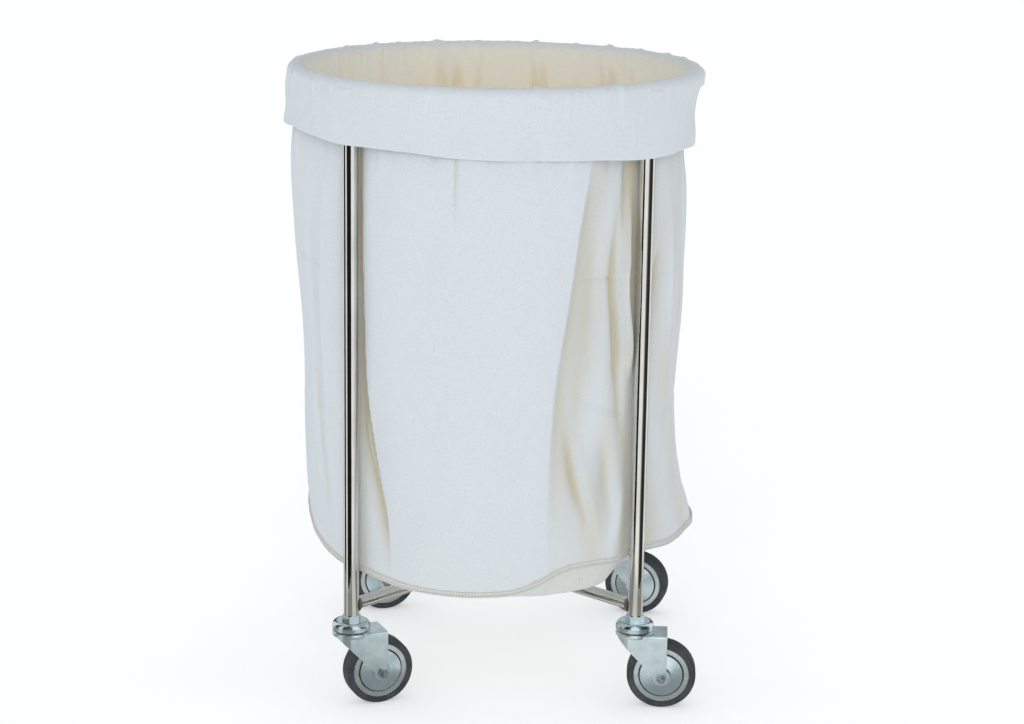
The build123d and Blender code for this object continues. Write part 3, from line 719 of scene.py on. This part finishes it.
    # Painted shade inside the bag, deeper lower down and in its creases; it also stands for the warm light in there
    deep = smooth_through([(0.60, 0.75), (0.82, 0.68), (0.87, 0.54), (0.897, 0.45)], heights)
    inside[:WALL_ROWS] = deep + 0.7 * np.clip(np.abs(dip) / 0.0035 - 0.15, 0, 1)
    first_cuff = WALL_ROWS + len(over)
    # painted shade over the ring, fading from the inside out to the top of the tube
    inside[WALL_ROWS:first_cuff] = 0.45 * np.linspace(1.0, 0.0, len(over))[:, None] ** 1.3
    # painted shade in the cuff where it pinches in
    pinched = np.clip((smoothed_around(cuff_radii, 3.0) - cuff_radii) / 0.003, 0, 1)
    inside[first_cuff:first_cuff + CUFF_ROWS] = 0.5 * pinched
    shade(piece, "outside_shade", outside)
    shade(piece, "inside_shade", inside)
    thicken(piece, CLOTH, back_material=1)
    return piece, wall[0], foot


# Copies of one canvas that differ only in the painted shade they read: outside and inside of the bag
canvas_outside = natural_canvas("canvas_outside", "outside_shade")
canvas_inside = natural_canvas("canvas_inside", "inside_shade", PAINTED_INSIDE_SHADE_CANVAS)
canvas_bag, seam_line, cuff_foot = build_wall()
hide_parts("bag_wall", "bag_cuff")


BINDING_HALF_WIDTH = 0.0017
BINDING_HALF_HEIGHT = 0.0056


def build_hem():
    """The bound seam round the bottom, a soft flat roll a little prouder than the wall."""
    out = seam_line / np.linalg.norm(seam_line[:, :2], axis=1, keepdims=True)
    out[:, 2] = 0
    turns = np.linspace(0, math.tau, 17)[:-1]
    pucker = 1 + gentle_waves(angles, 0.0, 14, (30, 150), (0, 1), 0.16)[:, None] / MM
    rows = []
    for turn in turns:
        side = math.copysign(abs(math.cos(turn)) ** 0.6, math.cos(turn)) * BINDING_HALF_WIDTH
        lift = math.copysign(abs(math.sin(turn)) ** 0.6, math.sin(turn)) * BINDING_HALF_HEIGHT + 0.0042
        rows.append(seam_line + out * (side * pucker) + np.array([0, 0, lift]))
    rows.append(rows[0])
    points = np.array(rows)
    faces = ring_faces(len(points), COLUMNS)
    count = len(turns) * COLUMNS
    faces = np.where(faces >= count, faces - count, faces)[:, ::-1]
    piece = new_piece("bottom_binding", points[:-1], faces, [canvas_binding])
    layer = piece.data.uv_layers.new(name="cloth")
    corners = faces.ravel()
    u = (corners % COLUMNS) * math.tau * 0.28 / COLUMNS
    v = (corners // COLUMNS) * 0.0018
    layer.data.foreach_set("uv", np.stack([u, v], axis=-1).astype(np.float32).ravel())
    shade(piece, "binding_shade", 0.42 + 0.5 * (pucker.T - 1) * np.ones((len(turns), 1)))
    return piece


def build_base():
    """The round base cloth, sewn in at the seam and sagging between."""
    reach = 1 - (1 - np.linspace(0, 1, 64)[1:, None]) ** 1.8
    edge_radius = np.linalg.norm(seam_line[:, :2], axis=1) - 0.0022
    edge_height = seam_line[:, 2] + 0.0012
    low = 0.1845
    steep = around([(-180, 2.4), (-140, 2.6), (-110, 3.0), (-92, 6.0), (-82, 50.0), (-70, 90.0), (-58, 70.0),
                    (-50, 24.0), (-36, 6.0), (-15, 3.6), (10, 2.6), (60, 3.0), (90, 3.4), (140, 2.8)], angles)
    heights = low + (edge_height - low) * reach ** np.maximum(steep, 2.2)
    radial = gentle_waves(angles, 0 * heights, 10, (17, 71), (0, 1), 0.9)
    creased = gentle_waves(angles, reach * 0.28, 12, (1, 7), (-30, 30), 1.6) * (1 - reach**6) * reach
    heights = heights + radial * reach**5 * (1 - reach**14) + np.maximum(creased, -0.0012)
    cloth = section_points(edge_radius * reach, heights, angles).reshape(-1, 3)
    rows = len(reach)
    points = np.concatenate([cloth, [[0, 0, heights[0].mean()]]])
    faces = ring_faces(rows, COLUMNS).tolist()
    hub = rows * COLUMNS
    faces += [[(column + 1) % COLUMNS, column, hub] for column in range(COLUMNS)]
    piece = new_piece("canvas_base", points, faces, [canvas_under, canvas_floor])
    layer = piece.data.uv_layers.new(name="cloth")
    corners = np.zeros(len(piece.data.loops), dtype=np.int32)
    piece.data.loops.foreach_get("vertex_index", corners)
    layer.data.foreach_set("uv", points[corners, :2].astype(np.float32).ravel())
    # Painted shade: even on the underside of the base, and deeper and warmer on its inside face, as on the inside of
    # the wall
    shade(piece, "under_shade", np.full(hub + 1, 0.42))
    shade(piece, "floor_shade", np.full(hub + 1, 0.75))
    thicken(piece, CLOTH, back_material=1)
    return piece


def build_stitches(name, line, out, pitch=0.0044, length=0.0032, thickness=0.0008):
    """Stitches along a closed line of points, each a short thread that dips into the cloth at both ends."""
    steps = np.linalg.norm(np.roll(line, -1, axis=0) - line, axis=1)
    travelled = np.concatenate([[0], np.cumsum(steps)])
    loop = np.concatenate([line, line[:1]])
    outward = np.concatenate([out, out[:1]])
    count = int(travelled[-1] / pitch)
    along = np.linspace(-0.5, 0.5, 5)
    arch = np.array([-0.9, 0.35, 0.6, 0.35, -0.9]) * thickness
    sides = np.radians(np.arange(6) * 60)
    points = []
    faces = []
    for stitch in range(count):
        middle = (stitch + 0.5) * travelled[-1] / count
        places = middle + along * length
        spine = np.stack([np.interp(places, travelled, loop[:, k]) for k in range(3)], axis=1)
        facing = np.array([np.interp(middle, travelled, outward[:, k]) for k in range(3)])
        forward = spine[-1] - spine[0]
        forward /= np.linalg.norm(forward)
        across = np.cross(forward, facing)
        start = len(points)
        for centre, lift in zip(spine, arch):
            for side in sides:
                points.append(centre + facing * (lift + math.sin(side) * thickness / 2)
                              + across * math.cos(side) * thickness / 2)
        for ring in range(len(along) - 1):
            for side in range(6):
                first = start + ring * 6
                faces.append([first + side, first + (side + 1) % 6, first + 6 + (side + 1) % 6, first + 6 + side])
        faces.append([start + side for side in range(6)][::-1])
        faces.append([start + (len(along) - 1) * 6 + side for side in range(6)])
    return new_piece(name, np.array(points), faces, [thread])


canvas_binding = natural_canvas("canvas_binding", "binding_shade")
# Copies of one canvas with painted shade for the base: its underside and its inside face
canvas_under = natural_canvas("canvas_under", "under_shade")
canvas_floor = natural_canvas("canvas_floor", "floor_shade", PAINTED_INSIDE_SHADE_CANVAS)
thread = sewing_thread()

bottom_binding = build_hem()
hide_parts("bag_hem")
canvas_base = build_base()
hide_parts("bag_base")

outward = seam_line / np.linalg.norm(seam_line[:, :2], axis=1, keepdims=True)
outward[:, 2] = 0
binding_face = seam_line + outward * BINDING_HALF_WIDTH
lower_stitches = build_stitches("lower_stitches", binding_face + [0, 0, 0.0014], outward)
upper_stitches = build_stitches("upper_stitches", binding_face + [0, 0, 0.0070], outward)

# ---------------------------------------------------------------- the studio

floor_mesh = bpy.data.meshes.new("floor")
floor_mesh.from_pydata([(-60, -60, 0), (60, -60, 0), (60, 60, 0), (-60, 60, 0)], [], [(0, 1, 2, 3)])
floor = bpy.data.objects.new("floor", floor_mesh)
bpy.context.scene.collection.objects.link(floor)
floor_finish = {"Roughness": 0.9, "Specular IOR Level": 0.1}
floor_material, floor_shader, floor_surface = new_material("pale_floor", floor_finish)
floor_clouds = floor_shader.noise(floor_shader.on_part(), 2.0)
floor_tone = floor_shader.mix(floor_clouds, (0.90, 0.90, 0.90), (0.92, 0.92, 0.92))
floor_shader.feed(floor_surface["Base Color"], floor_tone)
floor_surface["Emission Color"].default_value = (1.0, 1.0, 1.0, 1.0)
floor_surface["Emission Strength"].default_value = 0.34
floor_mesh.materials.append(floor_material)


# Panels of the reflection wall, by how far round they stand, as (place in degrees, shade). Front is at 270
PANELS = [
    (0, 0.90), (28, 0.85), (33, 0.04), (70, 0.04), (75, 0.80), (108, 0.95), (113, 0.04), (138, 0.04), (143, 0.75),
    (179, 0.85), (181, 0.02), (204, 0.02), (206, 0.85), (219, 0.90), (221, 0.01), (261, 0.01), (263, 0.95), (299, 0.95),
    (302, 0.38), (312, 0.03), (345, 0.03), (347, 0.90),
]


def panel_light(name, tint):
    """A glowing material that changes shade round the studio as PANELS says."""
    material = bpy.data.materials.new(name)
    shader = Shader(material)
    shader.nodes.clear()
    x, y = shader.axes(shader.on_part())[:2]
    turn = shader.maths("FRACT", shader.maths("ARCTAN2", y, x) / math.tau + 1.0)
    stops = [(place / 360, tint(shade)) for place, shade in PANELS]
    panels = shader.node("ShaderNodeValToRGB", {"stops": stops}, {"Fac": turn})
    light = shader.node("ShaderNodeEmission", {}, {"Color": panels, "Strength": 1.0})
    shader.node("ShaderNodeOutputMaterial", {}, {"Surface": light}, output=None)
    return material


def reflection_card(name, points, faces, material):
    """A card that stands in the studio for glossy reflections alone."""
    mesh = bpy.data.meshes.new(name)
    mesh.from_pydata(points, [], faces)
    mesh.materials.append(material)
    card = bpy.data.objects.new(name, mesh)
    bpy.context.scene.collection.objects.link(card)
    card.visible_camera = False
    card.visible_diffuse = False
    card.visible_shadow = False
    card.visible_transmission = False


def reflection_wall(radius=0.8, foot=0.004, top=2.6, count=180):
    """Light and dark panels that stand round the trolley for its polished tubes, and the ground inside them."""
    turns = np.radians(np.arange(count) * 360 / count)
    x, y = radius * np.cos(turns), radius * np.sin(turns)
    wall = np.concatenate([np.stack([x, y, np.full(count, z)], axis=1) for z in (foot, top)])
    wall_light = panel_light("panels", lambda shade: (shade, shade, shade * 0.97))
    reflection_card("reflection_wall", wall.tolist(), ring_faces(2, count).tolist(), wall_light)
    ground = np.stack([x, y, np.full(count, foot / 2)], axis=1)
    dim_light = panel_light(
        "dim_panels", lambda shade: (0.26 + 0.42 * shade, 0.26 + 0.42 * shade, 0.25 + 0.40 * shade)
    )
    reflection_card("reflection_ground", ground.tolist(), [list(range(count))], dim_light)


reflection_wall()

world = bpy.data.worlds.new("studio")
bpy.context.scene.world = world
sky = Shader(world)
climb = sky.axes(sky.node("ShaderNodeTexCoord", output=0))[2]
brightness = sky.mix(climb.above(0.0, 0.9), (0.90, 0.935, 0.97), (0.56, 0.59, 0.62))
sky.feed(sky.nodes["Background"].inputs["Color"], brightness)


def soft_light(name, aim, strength, colour, spread):
    """A broad even light from the direction that aim points away from."""
    lamp = bpy.data.lights.new(name, "SUN")
    lamp.energy = strength
    lamp.color = colour
    lamp.angle = math.radians(spread)
    holder = bpy.data.objects.new(name, lamp)
    holder.rotation_mode = "QUATERNION"
    holder.rotation_quaternion = Vector(aim).to_track_quat("-Z", "Y")
    bpy.context.scene.collection.objects.link(holder)


soft_light("key", (0.10, 1.0, -0.30), 0.66, (1.0, 0.99, 0.97), 40)

inside_fill = bpy.data.lights.new("inside_fill", "POINT")
inside_fill.energy = 2.0
inside_fill.color = (1.0, 0.95, 0.86)
inside_fill.shadow_soft_size = 0.12
fill_holder = bpy.data.objects.new("inside_fill", inside_fill)
fill_holder.location = (0, 0, 0.60)
fill_holder.visible_camera = False
fill_holder.visible_glossy = False
bpy.context.scene.collection.objects.link(fill_holder)

# ---------------------------------------------------------------- the camera

PAN, TILT, ROLL = 0.03746, 0.24069, 0.01427
ahead = Vector((math.sin(PAN) * math.cos(TILT), math.cos(PAN) * math.cos(TILT), -math.sin(TILT)))
level = Vector((math.cos(PAN), -math.sin(PAN), 0))
upward = level.cross(ahead)
right = math.cos(ROLL) * level + math.sin(ROLL) * upward
up = math.cos(ROLL) * upward - math.sin(ROLL) * level

lens = bpy.data.cameras.new("camera")
lens.sensor_width = 36
lens.lens = 84.46
lens.clip_end = 200
camera = bpy.data.objects.new("camera", lens)
placed = Matrix((right, up, -ahead)).transposed().to_4x4()
placed.translation = Vector((-0.10146, -3.48903, 1.31932))
camera.matrix_world = placed
bpy.context.scene.collection.objects.link(camera)
bpy.context.scene.camera = camera

bpy.context.scene.view_settings.view_transform = "Standard"
bpy.context.scene.view_settings.look = "None"
bpy.context.scene.view_settings.exposure = 0.0
